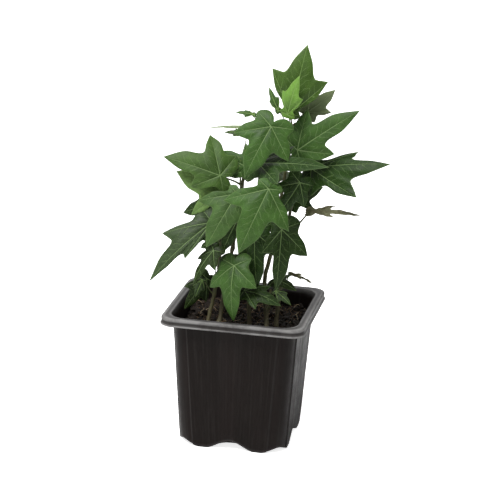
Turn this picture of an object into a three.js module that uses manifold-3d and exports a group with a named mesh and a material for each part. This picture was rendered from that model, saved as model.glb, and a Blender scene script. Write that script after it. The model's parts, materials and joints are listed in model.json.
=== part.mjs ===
// A young English ivy in a square nursery pot.
// Millimetres, +Z up. The origin is the middle of the pot's underside, and the pot's
// front wall faces -Y. The pot is one moulding, the soil fills it, the shoots stand in
// the soil, and every leaf is a blade and its petiole in one piece.
import * as THREE from 'three';
import { mergeVertices } from 'three/addons/utils/BufferGeometryUtils.js';
import Module from 'manifold-3d';

const wasm = await Module();
wasm.setup();

const GAP = 0.3;                 // clearance between pieces that touch

// Pot
const POT_HEIGHT = 94.8;
const RIM_HALF = 50;             // half the rim's outer width
const RIM_CORNER = 10;
const RIM_DEPTH = 5.6;           // height of the rim's outer face
const MOUTH_HALF = 43.6;         // half the opening, measured at the rim
const SHOULDER_HALF = 43.3;      // half the body's width just under the rim
const BASE_HALF = 37.8;          // half the body's width at the foot
const BODY_CORNER = 12;
const WALL = 1;
const FLUTE = 0.9;               // how far the corner columns stand back from the panels
const PAD_SHARE = 0.6;           // flat middle part of the underside
const ARCH_LIFT = 6.5;           // height of the arch in the middle of each foot edge
const CORNER_LIFT = 4;
const FOOT_FLAT = 0.35;          // depth trimmed off the wave so that each foot ends flat
const SIDE_STEPS = 10;
const CORNER_ANGLES = [3, 18, 45, 72, 87];
const DRAIN_RADIUS = 3;

// Soil
const SOIL_TOP = 82;
const SOIL_RINGS = 5;

// Shoots
const SHOOT_SIDES = 7;
const SHOOT_STEP = 7;            // distance between rings along a shoot

// Leaves
const BLADE_THICKNESS = 0.8;
const INNER_RING = 0.52;         // where the blade's inner ring lies between base and edge
const PETIOLE_RADIUS = 0.85;
const PETIOLE_SHARE = 0.03;      // petiole radius of a small leaf as a share of its midrib
const PETIOLE_SIDES = 5;
const PETIOLE_STEPS = 5;

const vec = (x, y, z) => new THREE.Vector3(x, y, z);
const radians = THREE.MathUtils.degToRad;
const smooth = THREE.MathUtils.smoothstep;

// A closed skin that is built ring by ring.
class Skin {
  constructor() {
    this.points = [];
    this.faces = [];
  }

  ring(points) {
    const first = this.points.length;
    this.points.push(...points);
    return points.map((_, i) => first + i);
  }

  // Both rings run anticlockwise seen from above, and the wall faces outward.
  wall(lower, upper) {
    const count = lower.length;
    for (let i = 0; i < count; i += 1) {
      const next = (i + 1) % count;
      this.faces.push([lower[i], lower[next], upper[next]]);
      this.faces.push([lower[i], upper[next], upper[i]]);
    }
  }

  // The same wall with its quads split the other way.
  wallBack(lower, upper) {
    lower.forEach((p, i) => {
      const next = (i + 1) % lower.length;
      this.faces.push([p, lower[next], upper[i]]);
      this.faces.push([lower[next], upper[next], upper[i]]);
    });
  }

  capAbove(ring, centre) {
    const [middle] = this.ring([centre]);
    ring.forEach((p, i) => this.faces.push([middle, p, ring[(i + 1) % ring.length]]));
  }

  capBelow(ring, centre) {
    const [middle] = this.ring([centre]);
    ring.forEach((p, i) => this.faces.push([middle, ring[(i + 1) % ring.length], p]));
  }

  geometry() {
    const geometry = new THREE.BufferGeometry();
    const numbers = this.points.flatMap((p) => [p.x, p.y, p.z]);
    geometry.setAttribute('position', new THREE.Float32BufferAttribute(numbers, 3));
    geometry.setIndex(this.faces.flat());
    return geometry;
  }
}

function solidOf(geometry) {
  const bare = geometry.clone();
  bare.deleteAttribute('normal');
  bare.deleteAttribute('uv');
  const merged = mergeVertices(bare, 1e-4);
  return new wasm.Manifold(new wasm.Mesh({
    numProp: 3,
    vertProperties: Float32Array.from(merged.attributes.position.array),
    triVerts: Uint32Array.from(merged.index.array),
  }));
}

function geometryOf(solid) {
  const mesh = solid.getMesh();
  const geometry = new THREE.BufferGeometry();
  geometry.setAttribute('position', new THREE.Float32BufferAttribute(mesh.vertProperties, 3));
  geometry.setIndex(Array.from(mesh.triVerts));
  return geometry;
}

// One level of the pot or the soil: a square with round corners, set in at the corners
// by flute. height gives each point's height from its place.
function squareRing(half, corner, flute, height) {
  const reach = half - corner;
  const points = [];
  for (let side = 0; side < 4; side += 1) {
    const turn = (side * Math.PI) / 2;
    const put = (x, y) => {
      const point = vec(x, y, 0).applyAxisAngle(vec(0, 0, 1), turn);
      point.z = height(point.x, point.y);
      points.push(point);
    };
    for (let i = 0; i <= SIDE_STEPS; i += 1) {
      put(-reach + (2 * reach * i) / SIDE_STEPS, -half);
    }
    for (const angle of CORNER_ANGLES) {
      const a = radians(angle);
      put(reach + (corner - flute) * Math.sin(a), -reach - (corner - flute) * Math.cos(a));
    }
  }
  return points;
}

// The foot edge rises in an arch in the middle of each side and again at the corners,
// which leaves two flat feet on each side.
function footLift(x, y) {
  const along = Math.min(Math.abs(x), Math.abs(y)) / Math.max(Math.abs(x), Math.abs(y));
  const wave = along < 0.5
    ? ARCH_LIFT * Math.cos(Math.PI * along) ** 2
    : CORNER_LIFT * Math.sin(Math.PI * (along - 0.5)) ** 2;
  return Math.max(0, wave - FOOT_FLAT);
}

// The underside keeps the edge's wave at the wall and flattens toward its middle pad.
function floorLift(half) {
  const share = smooth(half / BASE_HALF, PAD_SHARE, 1);
  return (x, y) => share * footLift(x, y);
}

const wallHalf = (z) => BASE_HALF + ((SHOULDER_HALF - BASE_HALF) * z) / (POT_HEIGHT - RIM_DEPTH);

function potGeometry() {
  const skin = new Skin();
  const level = (half, corner, flute, z) => skin.ring(squareRing(half, corner, flute, () => z));
  const floor = (half, flute, above) => {
    const lift = floorLift(half);
    const corner = Math.min(BODY_CORNER, half * 0.4);
    return skin.ring(squareRing(half, corner, flute, (x, y) => lift(x, y) + above));
  };
  const rimFoot = POT_HEIGHT - RIM_DEPTH;
  const insideCorner = BODY_CORNER - WALL;
  const rings = [
    // underside, from the middle pad to the feet
    floor(BASE_HALF * PAD_SHARE, 0, 0),
    floor(BASE_HALF * 0.8, 0, 0),
    floor(BASE_HALF - 1.2, FLUTE * 0.6, 0),
    // outer wall
    floor(BASE_HALF, FLUTE, 1.4),
    level(wallHalf(12), BODY_CORNER, FLUTE, 12),
    level(wallHalf(rimFoot - 3), BODY_CORNER, FLUTE, rimFoot - 3),
    level(SHOULDER_HALF, BODY_CORNER, 0, rimFoot + 2),
    // inside of the turned-down rim, then its outer face and its top
    level(SHOULDER_HALF + 0.9, BODY_CORNER, 0, POT_HEIGHT - 1.4),
    level(RIM_HALF - 1.7, RIM_CORNER - 1.2, 0, POT_HEIGHT - 1.4),
    level(RIM_HALF - 1.1, RIM_CORNER - 0.8, 0, rimFoot),
    level(RIM_HALF, RIM_CORNER, 0, rimFoot),
    level(RIM_HALF - 0.5, RIM_CORNER, 0, rimFoot + 1.4),
    level(RIM_HALF - 0.5, RIM_CORNER, 0, POT_HEIGHT - 1.2),
    level(RIM_HALF - 1.5, RIM_CORNER - 0.8, 0, POT_HEIGHT),
    level(MOUTH_HALF + 0.8, BODY_CORNER - 1, 0, POT_HEIGHT),
    level(MOUTH_HALF, BODY_CORNER - 1, 0, POT_HEIGHT - 0.8),
    // inner wall and the top of the floor
    level(SHOULDER_HALF - WALL, insideCorner, 0, POT_HEIGHT - 3.5),
    level(wallHalf(14) - WALL - FLUTE, insideCorner, 0, 14),
    floor(BASE_HALF - WALL - FLUTE, 0, WALL + 0.6),
    floor(BASE_HALF * 0.8, 0, WALL + 0.3),
    floor(BASE_HALF * PAD_SHARE, 0, WALL + 0.3),
  ];
  rings.slice(1).forEach((ring, i) => skin.wall(rings[i], ring));
  skin.capBelow(rings[0], vec(0, 0, 0));
  skin.capAbove(rings[rings.length - 1], vec(0, 0, WALL + 0.3));
  return geometryOf(withDrains(solidOf(skin.geometry())));
}

// Four drain holes, one under the arch of each side.
function withDrains(pot) {
  let drained = pot;
  const drain = new THREE.CylinderGeometry(DRAIN_RADIUS, DRAIN_RADIUS, 16, 16);
  drain.rotateX(Math.PI / 2);
  for (let side = 0; side < 4; side += 1) {
    const angle = (side * Math.PI) / 2;
    const hole = drain.clone();
    hole.translate(BASE_HALF * 0.78 * Math.cos(angle), BASE_HALF * 0.78 * Math.sin(angle), 4);
    drained = drained.subtract(solidOf(hole));
  }
  return drained;
}

// The soil fills the pot to SOIL_TOP, and its surface is mounded and uneven.
function soilGeometry() {
  const skin = new Skin();
  const clear = WALL + FLUTE + GAP;
  const bottom = (half, above) => {
    const lift = floorLift(half);
    const corner = Math.min(BODY_CORNER - 1, half * 0.4);
    return skin.ring(squareRing(half, corner, 0, (x, y) => lift(x, y) + above));
  };
  const surface = (x, y) => SOIL_TOP + 1.2 * Math.sin(x * 0.21 + 1) * Math.cos(y * 0.17)
    + 0.5 * Math.sin(x * 0.5) * Math.sin(y * 0.43 + 2);
  const topHalf = wallHalf(SOIL_TOP) - clear - 0.2;
  const rings = [
    bottom(BASE_HALF * PAD_SHARE, WALL + 0.8 + GAP),
    bottom(BASE_HALF * 0.8, WALL + 0.8 + GAP),
    bottom(BASE_HALF - clear - 0.3, WALL + 1.4 + GAP),
    skin.ring(squareRing(wallHalf(14) - clear - 0.1, BODY_CORNER - 1, 0, () => 14)),
  ];
  for (let i = 0; i < SOIL_RINGS; i += 1) {
    const half = topHalf * (1 - i / SOIL_RINGS);
    rings.push(skin.ring(squareRing(half, Math.min(BODY_CORNER - 1, half * 0.4), 0, surface)));
  }
  rings.slice(1).forEach((ring, i) => skin.wall(rings[i], ring));
  skin.capBelow(rings[0], vec(0, 0, WALL + 0.8 + GAP));
  skin.capAbove(rings[rings.length - 1], vec(0, 0, surface(0, 0)));
  return skin.geometry();
}

// Shoots: each row is a name, the radius at the foot and at the top, and the points
// that the shoot grows through, from the soil up.
const SHOOT_ROWS = [
  ['shoot_main', 1.7, 1.1,
    [[18, -10, 84], [13, 2, 112], [18, 8, 138], [22, 12, 180], [28, 12, 221]]],
  ['shoot_left', 1.6, 1.0,
    [[-15, -12, 84], [-13, 0, 112], [-9, 6, 145], [-5, 5, 180], [0, 4, 206]]],
  ['shoot_front', 1.5, 1.0,
    [[7, -16, 84], [4, -9, 112], [7, -8, 145], [11, -9, 176], [14, -2, 212]]],
  ['shoot_right', 1.6, 1.0,
    [[24, -8, 84], [24, 2, 112], [25, 8, 140], [29, 9, 168], [33, 6, 192]]],
  ['shoot_low_left', 1.5, 0.9,
    [[-22, -18, 84], [-19, -12, 104], [-17, -8, 126], [-17, -5, 150]]],
  ['shoot_low_right', 1.3, 0.8,
    [[20, -24, 84], [19, -16, 97], [20, -12, 109]]],
];

const shoots = new Map(SHOOT_ROWS.map(([name, foot, top, points]) => [name, {
  foot,
  top,
  curve: new THREE.CatmullRomCurve3(points.map((p) => vec(...p)), false, 'centripetal'),
}]));

// Ring of points about a path, in the plane of side and other.
function circle(centre, side, other, radius, count, start = 0) {
  return Array.from({ length: count }, (_, i) => {
    const a = start + (2 * Math.PI * i) / count;
    return centre.clone()
      .addScaledVector(side, radius * Math.cos(a))
      .addScaledVector(other, radius * Math.sin(a));
  });
}

function shootGeometry({ foot, top, curve }) {
  const skin = new Skin();
  const steps = Math.round(curve.getLength() / SHOOT_STEP);
  const rings = [];
  for (let i = 0; i <= steps; i += 1) {
    const centre = curve.getPointAt(i / steps);
    const along = curve.getTangentAt(i / steps);
    const side = vec(1, 0, 0).cross(along).normalize();
    const radius = foot + (top - foot) * (i / steps);
    rings.push(skin.ring(circle(centre, side, along.clone().cross(side), radius, SHOOT_SIDES)));
  }
  rings.slice(1).forEach((ring, i) => skin.wall(rings[i], ring));
  skin.capBelow(rings[0], curve.getPointAt(0).add(vec(0, 0, -0.5)));
  skin.capAbove(rings[steps], curve.getPointAt(1).addScaledVector(curve.getTangentAt(1), 1.5));
  return skin.geometry();
}

// Leaf outlines. spread is the angle of the side lobes from the midrib in degrees; lobe,
// neck and base are the reach of the side lobes, of the bays beside the tip and of the
// rear lobes, as shares of the midrib.
const OUTLINES = {
  broad: { spread: 54, lobe: 0.68, neck: 0.46, base: 0.38 },
  pointed: { spread: 48, lobe: 0.6, neck: 0.42, base: 0.36 },
  flared: { spread: 52, lobe: 0.68, neck: 0.46, base: 0.2 },
  young: { spread: 37, lobe: 0.7, neck: 0.6, base: 0.14 },
  long: { spread: 33, lobe: 0.75, neck: 0.58, base: 0.34 },
  narrow: { spread: 34, lobe: 0.62, neck: 0.52, base: 0.3 },
  bud: { spread: 30, lobe: 0.56, neck: 0.55, base: 0.2 },
  withered: { spread: 20, lobe: 0.52, neck: 0.4, base: 0.16 },
};

// Angle from the midrib and reach of every edge point, anticlockwise from the tip. The
// notch over the petiole reaches at least as far as notch.
function edgeOf({ spread, lobe, neck, base }, notch) {
  const half = [
    [0.27 * spread, 0.5 * (1 + neck) - 0.02],
    [0.6 * spread, neck],
    [0.82 * spread, 0.5 * (neck + lobe) - 0.01],
    [spread, lobe],
    [1.26 * spread, 0.5 * (lobe + base) - 0.02],
    [1.56 * spread, base * 0.88],
    [66 + 0.8 * spread, base],
    [140, base * 0.76],
    [164, base * 0.46],
  ];
  const mirrored = half.map(([angle, reach]) => [360 - angle, reach]).reverse();
  return [[0, 1], ...half, [180, Math.max(0.09, notch)], ...mirrored];
}

// The leaves on each shoot: name, outline, base of the blade, tip, the way the upper face
// looks, widths of the left and right halves, arch of the midrib, sag of the sides, and
// the height at which the petiole meets the shoot.
const LEAVES = {
  shoot_main: [
    ['top', 'young', [27, 1, 231], [35, 10, 277], [0.1, -1, 0.2], [0.98, 0.98], 0.06, 0.2, 219],
    ['folded', 'bud', [26, -7, 232], [33, -6, 259], [-0.3, -1, 0.2], [1.25, 0.95], 0.05, 0.6, 215],
    ['bract', 'bud', [19, -2.5, 233], [11, 2, 248], [-0.4, -1, 0.5], [0.8, 0.8], 0.05, 0.6, 217],
    ['upright', 'narrow', [36, 13, 230], [54, 18, 246], [0.3, 0.9, 0.5], [1.2, 1.2], -0.06, -0.2, 212],
    ['right_upper', 'pointed', [33, -3, 207], [74, 1, 237], [0.1, -1, 0.4], [0.9, 0.7], 0.06, 0.3, 192],
    ['back_top', 'broad', [24, 22, 218], [14, 40, 193], [0, 1, 0.5], [0.95, 0.95], 0.1, 0.3, 200],
    ['back_middle', 'broad', [12, 24, 186], [2, 44, 158], [-0.1, 1, 0.5], [1, 1], 0.1, 0.3, 168],
    ['back_low', 'pointed', [3, 24, 148], [-2, 42, 122], [-0.1, 1, 0.4], [1, 1], 0.1, 0.3, 134],
  ],
  shoot_front: [
    ['front_upper', 'broad', [18, -21.5, 226.6], [3, -31.5, 192.5], [0.1, -1, 0.35], [1, 0.95], 0.1, 0.15, 210],
    ['point_right', 'pointed', [9, -17, 199.8], [61, -40, 207], [0, -0.7, 0.8], [0.68, 0.62], 0.03, 0.3, 192],
    ['front', 'flared', [21, -39, 188.5], [4, -50, 145], [0.1, -1, 0.2], [0.95, 0.95], 0.1, 0.3, 168],
    ['front_left', 'flared', [-3, -24, 179], [-21, -36, 143], [0, -1, 0.3], [1, 0.95], 0.08, 0.3, 160],
    ['hanging_front', 'broad', [8, -15, 151], [12, -19, 112], [-0.1, -1, 0.2], [0.8, 0.55], 0.08, 0.3, 134],
  ],
  shoot_right: [
    ['right', 'long', [41, 9, 192], [97, -6, 203.5], [0, -0.9, 0.6], [0.36, 0.95], 0.08, 0.2, 172],
    ['reddish', 'pointed', [36, -4, 185], [20, -10, 159], [0.4, -1, 0.2], [0.9, 0.9], 0.08, 0.3, 170],
    ['right_shade', 'narrow', [27, 16, 167], [49, 15, 178], [0.2, -1, 0.4], [1.3, 1.3], 0.04, 0.3, 152],
    ['withered', 'withered', [42, 4, 163], [78, 8, 162], [0, -0.8, 0.7], [0.8, 0.6], 0.08, 0.5, 148],
    ['hanging_right', 'broad', [27, -17, 155], [26, -25, 114], [0.2, -1, 0.2], [0.82, 0.5], 0.1, 0.4, 144],
    ['low_right', 'pointed', [22, -6, 116], [38, -12, 111], [0.2, -0.7, 0.8], [1.1, 1.1], 0.1, 0.3, 100],
    ['low_withered', 'withered', [30, 6, 117], [47, 8, 110], [0, -0.7, 0.8], [0.6, 0.5], 0.12, 0.4, 108],
    ['back_right', 'broad', [42, 22, 188], [62, 42, 168], [0.5, 0.8, 0.6], [0.8, 0.8], 0.1, 0.3, 174],
    ['back_foot_right', 'narrow', [20, 22, 132], [19, 34, 112], [0.2, 1, 0.4], [0.8, 0.8], 0.1, 0.3, 112],
  ],
  shoot_left: [
    ['wall', 'narrow', [-26, -6, 112], [-40, -13, 90], [0.2, -0.9, 0.4], [1, 1], 0.08, 0.2, 108],
    ['left', 'broad', [-17, -14, 188], [-57, -14, 198], [0, -1, 0.5], [0.62, 1.12], 0.06, 0.25, 178],
    ['spotted', 'pointed', [1, -4, 192], [-23, 0, 201], [0, -1, 0.3], [1, 1.2], 0.06, 0.25, 184],
    ['left_low', 'flared', [-16, -5, 176], [-49, -8, 187], [-0.1, -0.9, 0.6], [1.3, 1], 0.06, 0.2, 160],
    ['left_edge', 'narrow', [-3, 20, 215.5], [-37, 18, 211.5], [0, 0.2, 1], [0.8, 0.8], 0.04, 0.3, 201],
    ['left_curl', 'bud', [-5, 6, 213], [-20, 7, 213], [0, -0.5, 0.8], [0.9, 0.9], 0.1, 0.3, 192],
    ['spike', 'bud', [0, 12, 226], [-13, 10, 227], [0, -0.6, 0.8], [0.9, 0.9], 0.05, 0.3, 204],
    ['shade_upper', 'pointed', [-5, -10, 157], [-14, -15, 134], [-0.1, -1, 0.2], [1, 1], 0.08, 0.3, 142],
    ['front_low', 'broad', [-3, -28, 130], [0, -38, 93], [-0.3, -1, 0.2], [0.8, 0.95], 0.1, 0.4, 112],
    ['back_left', 'broad', [-12, 22, 190], [-36, 38, 172], [-0.4, 0.8, 0.6], [1, 1], 0.1, 0.3, 174],
    ['back_low_left', 'pointed', [-14, 20, 152], [-26, 36, 128], [-0.4, 1, 0.4], [1, 1], 0.1, 0.3, 132],
    ['back_foot', 'pointed', [-6, 14, 124], [-10, 30, 102], [0, 1, 0.5], [1, 1], 0.1, 0.3, 104],
  ],
  shoot_low_left: [
    ['left_shade', 'broad', [-25, -2, 164], [-46, 2, 155], [-0.2, -1, 0.5], [1, 1.1], 0.08, 0.3, 144],
    ['left_long', 'narrow', [-21, -18, 156], [-60, -34, 115], [0, -0.9, 0.5], [0.35, 0.85], 0.1, 0.4, 140],
    ['left_dark', 'pointed', [-25, -10, 148], [-38, -11, 135], [-0.3, -1, 0.3], [1, 1], 0.08, 0.3, 132],
    ['shade_lower', 'pointed', [-24, 3, 137], [-28, -2, 118], [-0.3, -1, 0.2], [0.9, 0.9], 0.08, 0.3, 122],
    ['left_pale', 'pointed', [-19, -20, 137], [-31, -28, 114], [-0.5, -0.9, 0.2], [0.8, 0.6], 0.1, 0.4, 116],
    ['wall_small', 'bud', [-27, -16, 114], [-31, -20, 102], [0.2, -1, 0.3], [1.2, 1.2], 0.06, 0.3, 104],
  ],
  shoot_low_right: [
    ['low_right_small', 'bud', [24, -16, 111], [36, -20, 103], [0.2, -0.8, 0.6], [1.1, 1.1], 0.1, 0.3, 98],
    ['low_front', 'narrow', [4, -24, 112], [31, -30, 105], [0, -0.6, 0.9], [1.1, 1.1], 0.1, 0.3, 106],
  ],
};

// The point of a shoot at a given height, and the shoot's direction and radius there.
function placeOnShoot(name, height) {
  const { foot, top, curve } = shoots.get(name);
  let low = 0;
  let high = 1;
  while (high - low > 1e-4) {
    const middle = (low + high) / 2;
    if (curve.getPointAt(middle).z < height) {
      low = middle;
    } else {
      high = middle;
    }
  }
  return {
    point: curve.getPointAt(low),
    tangent: curve.getTangentAt(low),
    radius: foot + (top - foot) * low,
  };
}

function leafGeometry(shoot, [, outline, base, tip, face, width, arch, sag, height]) {
  const skin = new Skin();
  const root = vec(...base);
  const midrib = vec(...tip).sub(root);
  const length = midrib.length();
  midrib.normalize();
  const side = vec(...face).cross(midrib).normalize();
  const up = midrib.clone().cross(side);
  const stalk = Math.min(PETIOLE_RADIUS, PETIOLE_SHARE * length);
  const edge = edgeOf(OUTLINES[outline], (1.9 * stalk) / (INNER_RING * length));

  const place = (angle, reach, below) => {
    const along = reach * Math.cos(radians(angle));
    const half = angle < 180 ? width[0] : width[1];
    const across = half * reach * Math.sin(radians(angle));
    const rise = 4 * arch * along * (1 - along) - sag * across * across - 0.08 * Math.abs(across);
    return root.clone()
      .addScaledVector(midrib, length * along)
      .addScaledVector(side, length * across)
      .addScaledVector(up, length * rise - below);
  };
  const ringAt = (share, below) => edge.map(([angle, reach]) => place(angle, share * reach, below));

  const top = skin.ring(ringAt(INNER_RING, 0));
  const rim = skin.ring(ringAt(1, BLADE_THICKNESS / 2));
  const under = skin.ring(ringAt(INNER_RING, BLADE_THICKNESS));
  skin.capAbove(top, root.clone());
  skin.wall(rim, top);
  skin.wallBack(under, rim);

  // The petiole leaves the blade's underside, bends back and runs to the shoot.
  const joint = placeOnShoot(shoot, height);
  const away = root.clone().sub(joint.point);
  const reach = away.length();
  away.addScaledVector(joint.tangent, -away.dot(joint.tangent)).normalize();
  const start = root.clone().addScaledVector(up, -BLADE_THICKNESS);
  const end = joint.point.clone().addScaledVector(away, joint.radius + GAP + 0.6 * stalk);
  const path = new THREE.CubicBezierCurve3(
    start,
    start.clone().addScaledVector(up, -0.2 * reach).addScaledVector(midrib, -0.16 * reach),
    end.clone().addScaledVector(away, 0.3 * reach).addScaledVector(joint.tangent, 0.18 * reach),
    end,
  );
  const share = edge.length / PETIOLE_SIDES;
  const angles = Array.from({ length: PETIOLE_SIDES }, (_, j) => radians(edge[share * (j + 0.5)][0]));
  let axis = up.clone().negate();
  const frame = [midrib.clone(), side.clone()];
  let upper = under;
  for (let i = 0; i <= PETIOLE_STEPS; i += 1) {
    const next = path.getTangentAt(i / PETIOLE_STEPS);
    if (i > 0) {
      const turn = new THREE.Quaternion().setFromUnitVectors(axis, next);
      frame.forEach((v) => v.applyQuaternion(turn));
      axis = next;
    }
    const centre = path.getPointAt(i / PETIOLE_STEPS);
    const ring = skin.ring(angles.map((a) => centre.clone()
      .addScaledVector(frame[0], stalk * Math.cos(a))
      .addScaledVector(frame[1], stalk * Math.sin(a))));
    if (i === 0) {
      ring.forEach((p, j) => {
        for (let k = 0; k < share; k += 1) {
          const spoke = share * j + k;
          skin.faces.push([p, under[(spoke + 1) % edge.length], under[spoke]]);
        }
        const last = under[(share * (j + 1)) % edge.length];
        skin.faces.push([p, ring[(j + 1) % PETIOLE_SIDES], last]);
      });
    } else {
      skin.wall(ring, upper);
    }
    upper = ring;
  }
  for (let j = 1; j < PETIOLE_SIDES - 1; j += 1) {
    skin.faces.push([upper[0], upper[j + 1], upper[j]]);
  }
  return skin.geometry();
}

const colours = {
  pot: new THREE.MeshStandardMaterial({ color: 0x2c2a28, roughness: 0.5, metalness: 0 }),
  soil: new THREE.MeshStandardMaterial({ color: 0x3a2418, roughness: 1, metalness: 0 }),
  shoot: new THREE.MeshStandardMaterial({ color: 0x6f7b3c, roughness: 0.7, metalness: 0 }),
  leaf: new THREE.MeshStandardMaterial({ color: 0x3f7a35, roughness: 0.5, metalness: 0 }),
  fresh: new THREE.MeshStandardMaterial({ color: 0x7fb84e, roughness: 0.5, metalness: 0 }),
  withered: new THREE.MeshStandardMaterial({ color: 0x7d7a55, roughness: 0.8, metalness: 0 }),
};

const outlineColours = { young: 'fresh', bud: 'fresh', withered: 'withered' };

const ivy = new THREE.Group();

function add(name, geometry, material) {
  const mesh = new THREE.Mesh(geometry, material.clone());
  mesh.name = name;
  ivy.add(mesh);
}

add('pot', potGeometry(), colours.pot);
add('soil', soilGeometry(), colours.soil);
for (const [name, shoot] of shoots) {
  add(name, shootGeometry(shoot), colours.shoot);
}
for (const [shoot, rows] of Object.entries(LEAVES)) {
  for (const row of rows) {
    const [name, outline] = row;
    add(`leaf_${name}`, leafGeometry(shoot, row), colours[outlineColours[outline] ?? 'leaf']);
  }
}

export default ivy;
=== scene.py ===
import json
import math

import bmesh
import bpy
import numpy as np
from mathutils import Matrix, Vector, noise


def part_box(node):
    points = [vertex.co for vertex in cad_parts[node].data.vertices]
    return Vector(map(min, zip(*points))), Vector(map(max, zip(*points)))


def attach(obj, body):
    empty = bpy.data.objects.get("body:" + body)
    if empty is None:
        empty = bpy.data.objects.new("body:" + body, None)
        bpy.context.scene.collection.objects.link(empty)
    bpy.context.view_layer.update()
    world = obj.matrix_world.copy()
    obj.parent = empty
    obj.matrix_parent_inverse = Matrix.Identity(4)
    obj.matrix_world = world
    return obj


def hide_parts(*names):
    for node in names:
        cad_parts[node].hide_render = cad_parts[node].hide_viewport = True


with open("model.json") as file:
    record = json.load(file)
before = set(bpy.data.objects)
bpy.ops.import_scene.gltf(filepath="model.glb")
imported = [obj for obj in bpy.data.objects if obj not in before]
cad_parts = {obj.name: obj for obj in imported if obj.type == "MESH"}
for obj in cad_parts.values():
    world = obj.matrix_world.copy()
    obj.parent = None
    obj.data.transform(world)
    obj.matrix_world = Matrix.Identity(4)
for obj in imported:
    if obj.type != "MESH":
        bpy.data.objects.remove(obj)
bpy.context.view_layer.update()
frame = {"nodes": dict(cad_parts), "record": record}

# ---------------------------------------------------------------------------
# Pot
# A thin square nursery pot, injection moulded in one piece in satin black polypropylene.
# Its panels carry fine draw ribs, the corner columns stand back, the rim turns down, and
# the foot edge waves so that water can run out.
# ---------------------------------------------------------------------------
rim_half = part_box("pot")[1].x
pot_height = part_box("pot")[1].z
rim_foot = pot_height - 0.0056
rim_corner = 0.010
rim_rounding = 0.0014
bead_radius = 0.00055
mouth_half = 0.0436
mouth_rounding = 0.001
shoulder_half = 0.0433
base_half = 0.0378
body_corner = 0.012
wall_thickness = 0.001
floor_top = wall_thickness + 0.0003
corner_set_back = 0.0009
pad_share = 0.6
foot_rounding = 0.0014
foot_zone = 0.012
arch_rise = 0.0065
corner_rise = 0.004
rib_pitch = 0.0021
rib_relief = 0.00016
drain_radius = 0.003
drain_place = base_half * 0.78

rib_random = np.random.default_rng(11)
panel_share = np.linspace(-1, 1, 141)
corner_turn = np.radians(np.linspace(2.5, 87.5, 22))
panel_width = 2 * (base_half - body_corner) * 1.08
panel_run = (panel_share + 1) / 2 * panel_width
rib_places = np.linspace(0, panel_width, 19)
rib_height = 0.5 + 0.5 * np.sin(2 * math.pi * panel_run / rib_pitch)
rib_height = rib_height * np.interp(panel_run, rib_places, rib_random.uniform(0.3, 1, 19))
rib_height = rib_height * np.clip((1 - np.abs(panel_share)) * 12, 0, 1)
column_start = panel_width + 0.0004
side_run = np.concatenate([panel_run, column_start + body_corner * corner_turn])
side_length = side_run[-1] + 0.0005
pot_run = np.concatenate([side_run + k * side_length for k in range(4)])
panel_edge = np.clip((np.abs(panel_share) - 0.985) * 70, 0, 1)
# a thin line of painted highlight along each corner step, where the panel meets the corner column
step_painted_highlight = np.concatenate([panel_edge, np.zeros(len(corner_turn))])
step_painted_highlight[[len(panel_share), -1]] = 1.0
step_painted_highlight = np.tile(step_painted_highlight, 4)


def square_outline(half, corner, set_back=0.0, ribbed=0.0):
    """A square with round corners, whose panels may be ribbed and whose corners may stand back."""
    reach = half - corner
    radius = corner - set_back
    x = np.concatenate([reach * panel_share, reach + radius * np.sin(corner_turn)])
    y = np.concatenate([-half - ribbed * rib_height, -reach - radius * np.cos(corner_turn)])
    sides = []
    for quarter in range(4):
        c = round(math.cos(quarter * math.pi / 2))
        s = round(math.sin(quarter * math.pi / 2))
        sides.append(np.column_stack([c * x - s * y, s * x + c * y]))
    return np.vstack(sides)


def foot_wave(outline):
    """How far the foot edge arches up between the pads that it stands on."""
    across = np.abs(outline)
    along = across.min(1) / np.maximum(across.max(1), 1e-6)
    arch = arch_rise * np.cos(math.pi * along) ** 2
    corner = corner_rise * np.sin(math.pi * (along - 0.5)) ** 2
    return np.maximum(0, np.where(along < 0.5, arch, corner) - 0.00035)


def at_height(outline, height):
    return np.column_stack([outline, np.broadcast_to(height, len(outline))])


def wall_half(z):
    """Half the pot's width at a height, as the wall tapers."""
    return base_half + (shoulder_half - base_half) * z / rim_foot


pot_rings = []
# each ring's share of pale grey painted highlight, laid on the rim's rounded edges, its bead and top, the
# mouth's edge and the foot edge
ring_painted_highlight = []


def floor_ring(half, set_back, above, painted_highlight=0.0):
    """A ring of the pot's floor, which rises into the arches towards its edge."""
    share = np.clip((half / base_half - pad_share) / (1 - pad_share), 0, 1)
    outline = square_outline(half, min(body_corner, half * 0.4), set_back)
    pot_rings.append(at_height(outline, share * share * (3 - 2 * share) * foot_wave(outline) + above))
    ring_painted_highlight.append(painted_highlight)


def wall_ring(half, corner, height, painted_highlight=0.0, set_back=0.0, ribbed=0.0):
    """A ring of the wall or the rim, with its share of pale grey painted highlight."""
    pot_rings.append(at_height(square_outline(half, corner, set_back, ribbed), height))
    ring_painted_highlight.append(painted_highlight)


# the floor's underside, and the rounded edge that the pot stands on
for share in (0.12, 0.25, 0.4, 0.5, 0.6, 0.68, 0.76, 0.84, 0.91):
    floor_ring(base_half * share, 0, 0)
floor_ring(base_half - 0.0012, corner_set_back * 0.6, 0)
# the last number of a ring is its share of painted highlight on the foot edge
floor_ring(base_half - 0.0006, corner_set_back * 0.8, 0.0001, 0.1)
floor_ring(base_half - 0.0002, corner_set_back, 0.0004, 0.2)
floor_ring(base_half, corner_set_back, foot_rounding, 0.1)
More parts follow.
